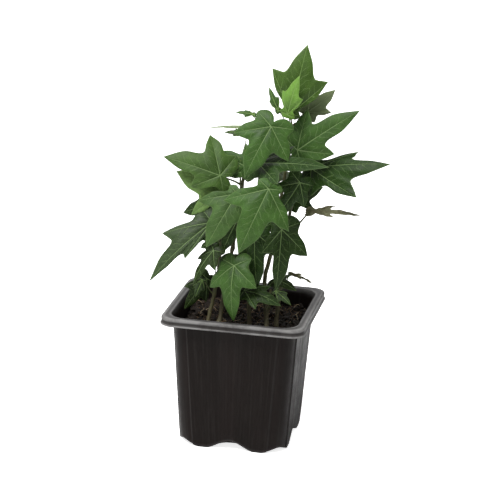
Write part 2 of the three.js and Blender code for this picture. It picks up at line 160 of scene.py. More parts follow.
# the ribbed wall, from the waved foot up to the shoulder
foot_line = square_outline(base_half, body_corner, corner_set_back)
for share in np.linspace(0.1, 1, 12):
    rise = (foot_wave(foot_line) + foot_rounding) * (1 - share) + foot_zone * share
    wall_ring(wall_half(foot_zone * share), body_corner, rise, 0.0, corner_set_back, rib_relief * share)
for z in np.linspace(foot_zone + 0.0025, rim_foot - 0.003, 34):
    wall_ring(wall_half(z), body_corner, z, 0.0, corner_set_back, rib_relief)
wall_ring(wall_half(rim_foot), body_corner, rim_foot - 0.0005, 0.0, corner_set_back * 0.5)
wall_ring(shoulder_half, body_corner, rim_foot + 0.002)
# out under the rim, down its hidden face, and round the bead on its lower edge
wall_ring(shoulder_half + 0.0009, body_corner, pot_height - rim_rounding)
wall_ring(rim_half - 0.0017, rim_corner - 0.0012, pot_height - rim_rounding)
# from here the last number of each ring is its share of painted highlight on the rim and the mouth
wall_ring(rim_half - 0.0011, rim_corner - 0.0008, rim_foot + 0.0004, 0.4)
for turn in np.radians((-90, -55, -20, 10, 40, 65)):
    out = rim_half - bead_radius * (1 - math.cos(turn))
    wall_ring(out, rim_corner, rim_foot + bead_radius * (1 + math.sin(turn)), 1.0)
# the rim's slightly hollow face, its rounded upper edge and its flat top
wall_ring(rim_half - 0.00052, rim_corner, rim_foot + 0.0014, 0.3)
wall_ring(rim_half - 0.00066, rim_corner, rim_foot + 0.0026, 0.12)
wall_ring(rim_half - 0.00058, rim_corner, pot_height - 0.0022, 0.2)
for turn in np.radians((0, 18, 36, 54, 72, 90)):
    out = rim_half - 0.0019 + rim_rounding * math.cos(turn)
    corner = rim_corner - 0.0008 * math.sin(turn)
    wall_ring(out, corner, pot_height - rim_rounding * (1 - math.sin(turn)), 1.0)
wall_ring(rim_half - 0.0034, rim_corner, pot_height - 0.00012, 0.12)
wall_ring(mouth_half + 0.0018, body_corner - mouth_rounding, pot_height - 0.00018, 0.15)
# over the mouth's rounded edge, down the inside and across the floor
for turn in np.radians((90, 65, 40, 15, 0)):
    out = mouth_half + mouth_rounding * (1 - math.cos(turn))
    height = pot_height - 0.0002 - 0.0009 * (1 - math.sin(turn))
    wall_ring(out, body_corner - mouth_rounding, height, 0.6)
wall_ring(shoulder_half - wall_thickness, body_corner - wall_thickness, pot_height - 0.0035)
for z in np.linspace(pot_height - 0.006, 0.014, 16):
    inner = wall_half(z) - wall_thickness - corner_set_back * (1 - z / pot_height)
    wall_ring(inner, body_corner - wall_thickness, z)
floor_ring(base_half - wall_thickness - corner_set_back, 0, wall_thickness + 0.0006)
for share in (0.8, 0.6, 0.3):
    floor_ring(base_half * share, 0, floor_top)


def ring_skin(name, rings, run, total_run, first_point, last_point):
    """A skin through rings of equal count, closed by a point at each end. Its UV map holds the
    run round it and the rise up it, in metres."""
    count = len(rings[0])
    column = np.arange(count)
    following = (column + 1) % count
    top = (len(rings) - 1) * count
    first = top + count
    faces = []
    for low in range(0, top, count):
        high = low + count
        faces += np.column_stack([low + column, low + following, high + following, high + column]).tolist()
    faces += [[first, following[i], i] for i in column]
    faces += [[first + 1, top + i, top + following[i]] for i in column]
    steps = [0.0] + [float(np.linalg.norm(b - a, axis=1).mean()) for a, b in zip(rings, rings[1:])]
    rise = np.repeat(np.cumsum(steps), count).tolist()
    rise += [0.0, rise[-1]]
    mesh = bpy.data.meshes.new(name)
    mesh.from_pydata(np.vstack(rings + [first_point, last_point]).tolist(), [], faces)
    place = mesh.uv_layers.new(name="surface")
    for polygon in mesh.polygons:
        corners = [v % count for v in polygon.vertices]
        wraps = max(corners) - min(corners) > count / 2
        for loop in polygon.loop_indices:
            vertex = mesh.loops[loop].vertex_index
            around = run[vertex % count]
            if wraps and vertex % count < count / 2:
                around += total_run
            place.data[loop].uv = (around, rise[vertex])
    mesh.shade_smooth()
    return mesh


def new_piece(name, data, *finishes):
    """An object in the scene, with its finishes."""
    for finish in finishes:
        data.materials.append(finish)
    piece = bpy.data.objects.new(name, data)
    bpy.context.collection.objects.link(piece)
    return piece


pot_mesh = ring_skin("pot_moulding", pot_rings, pot_run, 4 * side_length, (0, 0, 0), (0, 0, floor_top))
# pale grey painted highlight at every point: the rings' shares, with a faint painted line along the corner
# steps on the wall
painted_highlight = np.concatenate([np.maximum(level, 0.05 * step_painted_highlight * (level < 0.2)) for level in ring_painted_highlight])
highlight_attribute = pot_mesh.attributes.new("edge_highlight", "FLOAT", "POINT")
highlight_attribute.data.foreach_set("value", np.concatenate([painted_highlight, [0, 0]]).astype(np.float32))
pot = new_piece("pot_moulding", pot_mesh)

drills = bmesh.new()
for turn in np.radians((0, 90, 180, 270)):
    spot = Matrix.Translation((drain_place * math.cos(turn), drain_place * math.sin(turn), 0.004))
    bmesh.ops.create_cone(drills, cap_ends=True, segments=40, radius1=drain_radius,
                          radius2=drain_radius, depth=0.016, matrix=spot)
drill_mesh = bpy.data.meshes.new("drain_drills")
drills.to_mesh(drill_mesh)
drills.free()
drill = new_piece("drain_drills", drill_mesh)
cut = pot.modifiers.new("drains", "BOOLEAN")
cut.operation = "DIFFERENCE"
cut.solver = "EXACT"
cut.object = drill
drained = bpy.data.meshes.new_from_object(pot.evaluated_get(bpy.context.evaluated_depsgraph_get()))
pot.modifiers.clear()
pot.data = drained
bpy.data.objects.remove(drill)


def fill_inputs(tree, made, inputs):
    """Links a node's inputs or gives them values."""
    for key, value in inputs.items():
        if isinstance(value, bpy.types.NodeSocket):
            tree.links.new(value, made.inputs[key])
        else:
            made.inputs[key].default_value = value


def place_node(tree, kind, inputs=None, **settings):
    """A shader node with its settings, and its inputs either linked or given a value."""
    made = tree.nodes.new(kind)
    for key, value in settings.items():
        setattr(made, key, value)
    fill_inputs(tree, made, inputs or {})
    return made


def reckon(tree, operation, *values):
    """A Math node's result."""
    return place_node(tree, "ShaderNodeMath", dict(enumerate(values)), operation=operation).outputs[0]


def ramp_between(tree, value, low, high, to_low=0.0, to_high=1.0):
    """value carried smoothly from low..high to to_low..to_high."""
    ends = {"Value": value, "From Min": low, "From Max": high, "To Min": to_low, "To Max": to_high}
    made = place_node(tree, "ShaderNodeMapRange", ends, interpolation_type="SMOOTHSTEP")
    return made.outputs["Result"]


def mix_colours(tree, share, first, second, blend="MIX"):
    """first, with a share of second laid over it."""
    made = place_node(tree, "ShaderNodeMix", data_type="RGBA", blend_type=blend)
    fill_inputs(tree, made, {0: share, 6: first, 7: second})
    return made.outputs[2]


def object_place(tree):
    """A point's place on the object, in metres."""
    return place_node(tree, "ShaderNodeTexCoord").outputs["Object"]


def part_of(tree, place, axis):
    return place_node(tree, "ShaderNodeSeparateXYZ", {0: place}).outputs[axis]


def squeezed(tree, place, amounts):
    """A place squeezed along each axis, which draws a pattern out into streaks."""
    made = place_node(tree, "ShaderNodeVectorMath", {0: place, 1: amounts}, operation="MULTIPLY")
    return made.outputs[0]


def clouds(tree, place, scale, detail, roughness=0.5):
    """A cloudy pattern between 0 and 1."""
    inputs = {"Vector": place, "Scale": scale, "Detail": detail, "Roughness": roughness}
    return place_node(tree, "ShaderNodeTexNoise", inputs).outputs["Fac"]


def raise_skin(tree, skin, strength, distance, height):
    """Fine relief on a finish."""
    inputs = {"Strength": strength, "Distance": distance, "Height": height}
    bumped = place_node(tree, "ShaderNodeBump", inputs)
    tree.links.new(bumped.outputs["Normal"], skin["Normal"])


def new_group(name, inputs, outputs):
    """An empty node group, with its named inputs and outputs."""
    group = bpy.data.node_groups.new(name, "ShaderNodeTree")
    for label, kind, value in inputs:
        socket = group.interface.new_socket(label, in_out="INPUT", socket_type=kind)
        if value is not None:
            socket.default_value = value
    for label, kind in outputs:
        group.interface.new_socket(label, in_out="OUTPUT", socket_type=kind)
    entry = group.nodes.new("NodeGroupInput")
    leave = group.nodes.new("NodeGroupOutput")
    return group, entry.outputs, leave.inputs


def new_finish(name, **constants):
    """A material with its Principled shader, whose plain numbers sit on its own sockets."""
    finish = bpy.data.materials.new(name)
    finish.use_nodes = True
    tree = finish.node_tree
    tree.nodes.clear()
    shader = tree.nodes.new("ShaderNodeBsdfPrincipled")
    surface = tree.nodes.new("ShaderNodeOutputMaterial")
    tree.links.new(shader.outputs[0], surface.inputs["Surface"])
    for key, value in constants.items():
        shader.inputs[key.replace("_", " ")].default_value = value
    return finish, tree, shader.inputs


uneven_tone, tone_in, tone_out = new_group(
    "uneven_tone",
    [("Color", "NodeSocketColor", None), ("Place", "NodeSocketVector", None),
     ("Patches", "NodeSocketFloat", 40.0), ("Amount", "NodeSocketFloat", 0.2)],
    [("Color", "NodeSocketColor"), ("Patch", "NodeSocketFloat")],
)
patches = clouds(uneven_tone, tone_in["Place"], tone_in["Patches"], 4.0, 0.6)
centred = reckon(uneven_tone, "SUBTRACT", patches, 0.5)
swing = reckon(uneven_tone, "MULTIPLY", centred, tone_in["Amount"])
gain = reckon(uneven_tone, "MULTIPLY_ADD", swing, 4.0, 1.0)
shaded = place_node(uneven_tone, "ShaderNodeVectorMath", {0: tone_in["Color"], "Scale": gain},
                    operation="SCALE")
uneven_tone.links.new(shaded.outputs[0], tone_out["Color"])
uneven_tone.links.new(patches, tone_out["Patch"])


def toned(tree, colour, place, patches, amount):
    """A colour made uneven in patches, and the patches themselves."""
    inputs = {"Color": colour, "Place": place, "Patches": patches, "Amount": amount}
    made = place_node(tree, "ShaderNodeGroup", inputs, node_tree=uneven_tone)
    return made.outputs["Color"], made.outputs["Patch"]


streak_colour = (0.0155, 0.0125, 0.0115, 1)
warm_black = (0.0105, 0.0068, 0.0060, 1)
# the pale grey of the painted highlight on the rounded edges and corner steps
highlight_grey = (0.250, 0.245, 0.240, 1)
dust = (0.016, 0.014, 0.011, 1)
pot_plastic, tree, skin = new_finish("satin_black_polypropylene", Specular_IOR_Level=0.10)
where = place_node(tree, "ShaderNodeUVMap", uv_map="surface").outputs["UV"]
drawn_up = squeezed(tree, where, (1.0, 0.035, 1.0))
streaks = clouds(tree, drawn_up, 420.0, 3.0, 0.7)
broad_streaks = clouds(tree, drawn_up, 60.0, 2.0)
grain = clouds(tree, where, 2600.0, 2.0)
# a cloudy pattern for scuffs, dust and roughness, which also mottles the painted highlight
scuffs_and_highlight_mottle = clouds(tree, where, 55.0, 6.0, 0.72)
edge_highlight = place_node(tree, "ShaderNodeAttribute", attribute_name="edge_highlight").outputs["Fac"]
colour, _ = toned(tree, (0.0068, 0.0046, 0.0038, 1), where, 35.0, 0.2)
colour = mix_colours(tree, ramp_between(tree, streaks, 0.46, 0.70, 0.0, 0.6), colour, streak_colour)
colour = mix_colours(tree, ramp_between(tree, broad_streaks, 0.42, 0.62, 0.0, 0.5), colour, warm_black)
# painted highlight laid on the rounded edges and corner steps, mottled by the cloudy pattern
highlight_mix = reckon(tree, "MULTIPLY", edge_highlight, ramp_between(tree, scuffs_and_highlight_mottle, 0.3, 0.62, 0.25, 0.75))
colour = mix_colours(tree, highlight_mix, colour, highlight_grey)
low_on_wall = ramp_between(tree, part_of(tree, object_place(tree), "Z"), 0.0, 0.02, 0.3, 0.0)
dust_share = reckon(tree, "MULTIPLY", low_on_wall, ramp_between(tree, scuffs_and_highlight_mottle, 0.45, 0.7))
tree.links.new(mix_colours(tree, dust_share, colour, dust), skin["Base Color"])
tree.links.new(ramp_between(tree, scuffs_and_highlight_mottle, 0.3, 0.75, 0.34, 0.52), skin["Roughness"])
raise_skin(tree, skin, 0.35, 0.00008, reckon(tree, "MULTIPLY_ADD", streaks, 3.0, grain))
pot.data.materials.clear()
pot.data.materials.append(pot_plastic)
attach(pot, "root")
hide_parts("pot")

# ---------------------------------------------------------------------------
# Soil
# Damp fibrous peat, tipped in and firmed by hand around the shoots, so that its top is
# a little mounded and loose, with crumbs, coir fibres and a few pale roots lying on it.
# ---------------------------------------------------------------------------
soil_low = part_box("soil")[0].z + 0.0002
soil_top = 0.082
soil_corner = 0.011
soil_clear = wall_thickness + corner_set_back + 0.0003
soil_half = wall_half(soil_top) - soil_clear + 0.0006
soil_turns = 260
soil_girth = 0.3


def soil_height(x, y):
    """The firmed surface, then its lumps and its grains."""
    mound = 0.0012 * math.sin(x * 210 + 1) * math.cos(y * 170)
    mound += 0.0005 * math.sin(x * 500) * math.sin(y * 430 + 2)
    lumps = 0.0026 * noise.noise(Vector((x * 160, y * 160, 3.0)))
    clods = 0.0020 * noise.noise(Vector((x * 420, y * 420, 8.0)))
    grains = 0.0011 * noise.noise(Vector((x * 1100, y * 1100, 5.0)))
    return soil_top + mound + lumps + clods + grains


def soil_outline(half, corner):
    """Evenly turned points round a square with round corners."""
    turns = np.linspace(0, 2 * math.pi, soil_turns, endpoint=False)
    power = 2 + 6 * (1 - corner / half)
    c, s = np.cos(turns), np.sin(turns)
    radius = half / (np.abs(c) ** power + np.abs(s) ** power) ** (1 / power)
    return np.column_stack([radius * c, radius * s])


soil_rings = [
    at_height(soil_outline(base_half * 0.5, 0.009), soil_low),
    at_height(soil_outline(base_half * 0.86, soil_corner), soil_low + 0.0044),
    at_height(soil_outline(wall_half(0.014) - soil_clear - 0.0006, soil_corner), 0.014),
    at_height(soil_outline(wall_half(0.05) - soil_clear - 0.0006, soil_corner), 0.05),
]
for share in np.concatenate([[1.0, 0.985], np.linspace(0.96, 0.03, 62)]):
    outline = soil_outline(soil_half * share, soil_corner * share)
    soil_rings.append(at_height(outline, [soil_height(x, y) for x, y in outline]))
soil_run = np.linspace(0, soil_girth, soil_turns, endpoint=False)
soil_mesh = ring_skin("peat", soil_rings, soil_run, soil_girth, (0, 0, soil_low), (0, 0, soil_height(0, 0)))

peat, tree, skin = new_finish("damp_peat", Specular_IOR_Level=0.3)
where = object_place(tree)
specks = clouds(tree, where, 1300.0, 3.0, 0.7)
fibre = clouds(tree, squeezed(tree, where, (1.0, 0.16, 1.0)), 900.0, 2.0)
colour, _ = toned(tree, (0.0100, 0.0058, 0.0030, 1), where, 120.0, 0.45)
colour = mix_colours(tree, ramp_between(tree, specks, 0.58, 0.72, 0.0, 0.8), colour, (0.055, 0.034, 0.020, 1))
colour = mix_colours(tree, ramp_between(tree, fibre, 0.6, 0.72, 0.0, 0.6), colour, (0.075, 0.047, 0.027, 1))
tree.links.new(colour, skin["Base Color"])
tree.links.new(ramp_between(tree, specks, 0.3, 0.7, 0.95, 0.7), skin["Roughness"])
raise_skin(tree, skin, 0.8, 0.0005, specks)
soil = new_piece("peat", soil_mesh, peat)
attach(soil, "root")
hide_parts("soil")


def inside_pot(x, y, margin):
    """The point itself, or drawn in towards the middle if it would reach past the pot's wall."""
    reach = (abs(x) ** 6 + abs(y) ** 6) ** (1 / 6)
    return np.array((x, y)) * min(1, (soil_half - margin) / max(reach, 1e-6))


crumb_random = np.random.default_rng(23)
crumbs = bmesh.new()
for _ in range(620):
    x, y = inside_pot(*crumb_random.uniform(-soil_half, soil_half, 2), 0.0032)
    size = crumb_random.gamma(3.0, 0.00022) + 0.0003
    stretch = Matrix.Diagonal((*crumb_random.uniform(0.6, 1.5, 2), crumb_random.uniform(0.5, 0.9), 1))
    turn = crumb_random.uniform(0, 6.28)
    tilt = Matrix.Rotation(turn, 4, Vector(crumb_random.normal(size=3)).normalized())
    middle = Matrix.Translation((x, y, soil_height(x, y) + size * 0.35))
    lump = bmesh.ops.create_icosphere(crumbs, subdivisions=2, radius=size, matrix=middle @ tilt @ stretch)
    for vertex in lump["verts"]:
        away = vertex.co - middle.translation
        knock = noise.noise(vertex.co * 2200) * 0.45
        vertex.co = middle.translation + away * (1 + knock)
crumb_mesh = bpy.data.meshes.new("peat_crumbs")
crumbs.to_mesh(crumb_mesh)
crumbs.free()
crumb_mesh.shade_smooth()
crumb_piece = new_piece("peat_crumbs", crumb_mesh, peat)
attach(crumb_piece, "root")


def swept_tube(centres, radii, sides):
    """Points and faces of a round tube along centres, closed at both ends."""
    centres = np.asarray(centres, float)
    along = np.gradient(centres, axis=0)
    along /= np.linalg.norm(along, axis=1)[:, None]
    side = np.array((0.31, 0.84, 0.44))
    turns = np.linspace(0, 2 * math.pi, sides, endpoint=False)
    points = []
    for centre, direction, radius in zip(centres, along, radii):
        side = side - direction * (side @ direction)
        side /= np.linalg.norm(side)
        other = np.cross(direction, side)
        points.append(centre + radius * (np.outer(np.cos(turns), side) + np.outer(np.sin(turns), other)))
    last = (len(centres) - 1) * sides
    faces = [
        [low + i, low + (i + 1) % sides, low + sides + (i + 1) % sides, low + sides + i]
        for low in range(0, last, sides) for i in range(sides)
    ]
    faces.append(list(range(sides))[::-1])
    faces.append(list(range(last, last + sides)))
    return np.vstack(points), faces


def eased(start, end, leaving, arriving, width, t):
    """Points a share t of the way from start to end, which leave and arrive in given directions."""
    return ((2 * t**3 - 3 * t**2 + 1) * start + (t**3 - 2 * t**2 + t) * width * leaving
            + (-2 * t**3 + 3 * t**2) * end + (t**3 - t**2) * width * arriving)


def smooth_line(points, count):
    """count points on a smooth line through points."""
    points = np.asarray(points, float)
    steps = np.concatenate([[0], np.cumsum(np.linalg.norm(np.diff(points, axis=0), axis=1))])
    slopes = np.gradient(points, steps, axis=0)
    places = np.linspace(0, steps[-1], count)
    part = np.clip(np.searchsorted(steps, places, side="right") - 1, 0, len(points) - 2)
    width = (steps[part + 1] - steps[part])[:, None]
    t = (places - steps[part])[:, None] / width
    return eased(points[part], points[part + 1], slopes[part], slopes[part + 1], width, t)


def joined_mesh(name, parts):
    """One mesh from several lists of points and faces."""
    points, faces, first = [], [], 0
    for part_points, part_faces in parts:
        points.append(part_points)
        faces += [[first + v for v in face] for face in part_faces]
        first += len(part_points)
    mesh = bpy.data.meshes.new(name)
    mesh.from_pydata(np.vstack(points).tolist(), [], faces)
    mesh.shade_smooth()
    return mesh


def lying_line(x, y, heading, length, sway, lift):
    """Points of a strand that wanders over the peat, lifted above it by lift at each share."""
    line = []
    for share in np.linspace(0, 1, 7):
        run = length * share
        px, py = inside_pot(x + run * math.cos(heading), y + run * math.sin(heading), 0.0016)
        heading += crumb_random.uniform(-sway, sway)
        line.append((px, py, soil_height(px, py) + lift(share)))
    return line


def strand_finish(name, colour, patches, roughness):
    """The dull, uneven skin of a fibre or a root."""
    finish, tree, skin = new_finish(name, Roughness=roughness, Specular_IOR_Level=0.3)
    tree.links.new(toned(tree, colour, object_place(tree), patches, 0.6)[0], skin["Base Color"])
    return finish


def fibre_lift(share):
    return 0.0004 + 0.0012 * crumb_random.random() * math.sin(math.pi * share)


strands = []
for _ in range(150):
    x, y = crumb_random.uniform(-soil_half, soil_half, 2) * 0.93
    heading = crumb_random.uniform(0, 2 * math.pi)
    length = crumb_random.uniform(0.003, 0.013)
    line = lying_line(x, y, heading, length, 0.5, fibre_lift)
    width = crumb_random.uniform(0.00008, 0.0002)
    strands.append(swept_tube(smooth_line(line, 16), [width] * 16, 5))
coir = strand_finish("dry_coir", (0.15, 0.095, 0.052, 1), 180.0, 0.85)
fibre_piece = new_piece("coir_fibres", joined_mesh("coir_fibres", strands), coir)
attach(fibre_piece, "root")

roots = []
for _ in range(22):
    x, y = inside_pot(*crumb_random.uniform(-soil_half, soil_half, 2), 0.006)
    heading = crumb_random.uniform(0, 2 * math.pi)
    length = crumb_random.uniform(0.010, 0.020)
    arch = crumb_random.uniform(0.001, 0.0045)
    line = lying_line(x, y, heading, length, 0.3, lambda share: arch * math.sin(math.pi * share) - 0.0003)
    roots.append(swept_tube(smooth_line(line, 24), np.linspace(0.00026, 0.00012, 24), 6))
root_skin = strand_finish("pale_root", (0.34, 0.27, 0.17, 1), 200.0, 0.7)
root_piece = new_piece("pale_roots", joined_mesh("pale_roots", roots), root_skin)
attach(root_piece, "root")

# ---------------------------------------------------------------------------
# Shoots
# Six young ivy stems rise from the peat. They are green-brown and finely ridged, paler
# and woodier at the foot, and swell into a node where each leaf stalk joins.
# ---------------------------------------------------------------------------
cad_shoot_sides = 7
foot_swell_height = soil_top - 0.0005


def welded(node_name):
    """A CAD node's mesh with its doubled points joined."""
    mesh = bmesh.new()
    mesh.from_mesh(frame["nodes"][node_name].data)
    bmesh.ops.remove_doubles(mesh, verts=mesh.verts, dist=2e-6)
    mesh.verts.ensure_lookup_table()
    return mesh


def levels_from(first):
    """The mesh's points in levels, counted along edges from the first point."""
    seen = {first}
    level = [first]
    levels = []
    while level:
        levels.append(level)
        following = []
        for vertex in level:
            for edge in vertex.link_edges:
                other = edge.other_vert(vertex)
                if other not in seen:
                    seen.add(other)
                    following.append(other)
        level = following
    return levels


def busiest(cad):
    """The point where most edges meet, which on a leaf is where the stalk joins the blade."""
    return max(cad.verts, key=lambda v: len(v.link_edges))


shoot_lines = {}
petiole_ends = []
for name in frame["nodes"]:
    if name.startswith("shoot_"):
        cad = welded(name)
        caps = [v for v in cad.verts if len(v.link_edges) == cad_shoot_sides]
        levels = levels_from(min(caps, key=lambda v: v.co.z))
        rings = [np.array([v.co for v in level]) for level in levels if len(level) == cad_shoot_sides]
        radii = [float(np.linalg.norm(ring - ring.mean(0), axis=1).mean()) for ring in rings]
        shoot_lines[name] = (np.array([ring.mean(0) for ring in rings]), np.array(radii))
        cad.free()
    elif name.startswith("leaf_"):
        cad = welded(name)
        petiole_ends.append(np.mean([v.co for v in levels_from(busiest(cad))[-1]], axis=0))
        cad.free()

woody_brown = (0.095, 0.075, 0.040, 1)
ridge_straw = (0.16, 0.145, 0.08, 1)
sun_red = (0.060, 0.030, 0.014, 1)
pore_pale = (0.19, 0.165, 0.10, 1)
bark, tree, skin = new_finish("young_bark", Specular_IOR_Level=0.4)
where = object_place(tree)
height = part_of(tree, where, "Z")
ridges = clouds(tree, squeezed(tree, where, (1.0, 1.0, 0.12)), 1100.0, 3.0)
pores = place_node(tree, "ShaderNodeTexVoronoi", {"Vector": where, "Scale": 420.0}, feature="F1")
colour, patch = toned(tree, (0.062, 0.066, 0.020, 1), where, 90.0, 0.5)
colour = mix_colours(tree, ramp_between(tree, height, 0.080, 0.112, 0.75, 0.0), colour, woody_brown)
colour = mix_colours(tree, ramp_between(tree, ridges, 0.5, 0.68, 0.0, 0.55), colour, ridge_straw)
colour = mix_colours(tree, ramp_between(tree, patch, 0.52, 0.68, 0.0, 0.45), colour, sun_red)
pore_share = ramp_between(tree, pores.outputs["Distance"], 0.22, 0.12, 0.0, 0.6)
tree.links.new(mix_colours(tree, pore_share, colour, pore_pale), skin["Base Color"])
tree.links.new(ramp_between(tree, ridges, 0.3, 0.7, 0.5, 0.72), skin["Roughness"])
raise_skin(tree, skin, 0.6, 0.0002, ridges)

for name, (centres, radii) in shoot_lines.items():
    down = centres[0] - centres[1]
    down /= np.linalg.norm(down)
    tip = centres[-1] + (centres[-1] - centres[-2]) * 0.2
    line = smooth_line(np.vstack([centres[0] + down * 0.007, centres, tip]), 170)
    width = np.interp(line[:, 2], centres[:, 2], radii)
    swell = 0.94 + 0.35 * np.exp(-((line[:, 2] - foot_swell_height) / 0.003) ** 2)
    for end in petiole_ends:
        away = np.linalg.norm(line - end, axis=1)
        if away.min() < 0.003:
            swell += 0.32 * np.exp(-(((line - line[away.argmin()]) ** 2).sum(1)) / 0.0016**2)
    line[:, 0] += [noise.noise(Vector(p * 260)) * 0.0004 for p in line]
    width = width * swell
    width[-1] *= 0.5
    stem = new_piece("ivy_" + name, joined_mesh("ivy_" + name, [swept_tube(line, width, 22)]), bark)
    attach(stem, "root")
    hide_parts(name)

# ---------------------------------------------------------------------------
# Leaves
# Each leaf is a thin lobed blade on a round stalk. Five main veins fan out from the
# stalk and sink into the upper face, side veins and a fine net fill the space between
# them, and the blade domes up a little between the veins.
# ---------------------------------------------------------------------------
spokes = 20
main_vein_spokes = (0, 4, 7, 13, 16)
sharp_spokes = (0, 4, 10, 16)
inner_share = 0.52
cad_half_thickness = 0.0004
half_thickness = 0.00016
groove_depth = 0.00022
groove_half_width = 0.0005
dome_share = 0.024
wave_share = 0.011


def read_leaf(name):
    """Where the stalk joins the blade, the half-way ring and the edge of the blade's middle
    surface, the way its upper face looks, and the stalk's centreline, all from the CAD leaf."""
    cad = welded(name)
    root = busiest(cad)
    levels = levels_from(root)
    edge = set(levels[2])
    under = np.array([v.co for v in levels[3]])
    fan = {}
    for face in root.link_faces:
        order = [loop.vert for loop in face.loops]
        at = order.index(root)
        fan[order[(at + 1) % 3]] = order[(at + 2) % 3]
    walk = [next(iter(fan))]
    while len(walk) < len(fan):
        walk.append(fan[walk[-1]])

    def edge_points(vertex):
        return {e.other_vert(vertex) for e in vertex.link_edges} & edge

    outline = []
    for here, following in zip(walk, walk[1:] + walk[:1]):
        outline.append(next(iter(edge_points(here) & edge_points(following))))
    tip = max(range(spokes), key=lambda i: (outline[i].co - root.co).length)
    order = [(tip + i) % spokes for i in range(spokes)]
    centre = np.array(root.co)
    above = np.array([walk[i].co for i in order])
    rim = np.array([outline[i].co for i in order])

    def off_spoke(shift):
        """How far the ring points lie off the spokes to the edge points."""
        return np.linalg.norm(np.cross(np.roll(above, -shift, 0) - centre, rim - centre), axis=1).sum()

    # an edge point belongs to the ring point before it or after it, whichever lies on its spoke
    above = np.roll(above, -min((0, 1), key=off_spoke), 0)
    nearest = [np.linalg.norm(under - p, axis=1).argmin() for p in above]
    face = np.cross(above - centre, np.roll(above, -1, 0) - centre).sum(0)
    face /= np.linalg.norm(face)
    stalk = np.array([np.mean([v.co for v in level], axis=0) for level in levels[4:]])
    cad.free()
    return centre - face * cad_half_thickness, (above + under[nearest]) / 2, rim, face, stalk


def around_ring(control, spoke_of, sharpness):
    """A smooth closed line through the spokes' points, with its bends kept sharp at the lobe tips."""
    ahead = np.roll(control, -1, 0) - control
    behind = control - np.roll(control, 1, 0)
    long_ahead = np.maximum(np.linalg.norm(ahead, axis=1)[:, None], 1e-9)
    long_behind = np.maximum(np.linalg.norm(behind, axis=1)[:, None], 1e-9)
    soft = (ahead / long_ahead + behind / long_behind) / 2
    leaving = soft.copy()
    arriving = soft.copy()
    for spoke in sharp_spokes:
        gentle = soft[spoke] * (1 - sharpness)
        leaving[spoke] = gentle + sharpness * ahead[spoke] / long_ahead[spoke]
        arriving[spoke] = gentle + sharpness * behind[spoke] / long_behind[spoke]
    part = np.floor(spoke_of).astype(int) % spokes
    following = (part + 1) % spokes
    t = (spoke_of - np.floor(spoke_of))[:, None]
    return eased(control[part], control[following], leaving[part], arriving[following], long_ahead[part], t)


